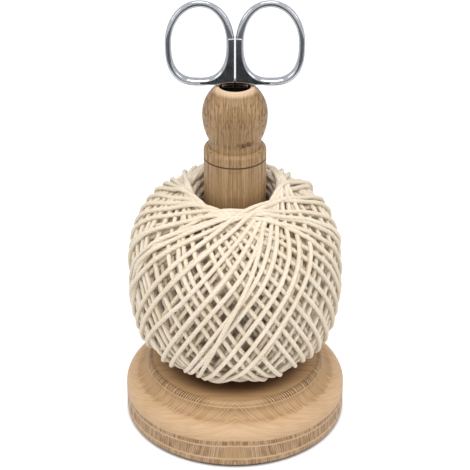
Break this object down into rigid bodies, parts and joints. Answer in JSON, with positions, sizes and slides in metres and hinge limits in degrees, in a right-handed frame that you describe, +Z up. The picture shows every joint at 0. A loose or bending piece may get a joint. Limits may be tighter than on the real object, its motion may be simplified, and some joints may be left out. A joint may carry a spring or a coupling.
{
  "type": "string holder",
  "caption": "Turned oak string holder: a moulded base and post with a finial carry a ball of cotton string, and small scissors stand in the finial's socket.",
  "frame": {"origin": "centre of the base's underside, on the surface that the felt stands on", "axes": "+Z up along the post, +X across the scissors to the viewer's right, -Y towards the viewer of the picture"},
  "size_m": [0.105, 0.105, 0.2055],
  "materials": {
    "oak": "satin oiled oak",
    "felt": "pressed felt",
    "string": "undyed twisted cotton",
    "steel": "polished steel",
    "screw": "plain steel"
  },
  "bodies": {
    "stand": {"base": "oak", "felt_pad": "felt", "post": "oak", "post_screw": "screw"},
    "string_ball": {"string_core": "string", "string_winding": "string"},
    "scissors_pivot": {"scissors_pivot_screw": "screw"},
    "scissors_left": {"scissors_left_half": "steel"},
    "scissors_right": {"scissors_right_half": "steel"}
  },
  "joints": [
    {"name": "ball_spin", "type": "hinge", "parent": "stand", "child": "string_ball", "pos_m": [0, 0, 0.0724], "axis": [0, 0, 1], "continuous": true},
    {"name": "scissors_lift", "type": "slide", "parent": "stand", "child": "scissors_pivot", "axis": [0, 0, 1], "range_m": [0, 0.08]},
    {"name": "scissors_open", "type": "hinge", "parent": "scissors_pivot", "child": "scissors_left", "pos_m": [0, 0, 0.1572], "axis": [0, -1, 0], "range_deg": [0, 3.5]},
    {"name": "scissors_open_right", "type": "hinge", "parent": "scissors_pivot", "child": "scissors_right", "pos_m": [0, 0, 0.1572], "axis": [0, 1, 0], "range_deg": [0, 3.5]}
  ],
  "couplings": [
    {"joint": "scissors_open_right", "follows": "scissors_open", "ratio": 1}
  ]
}
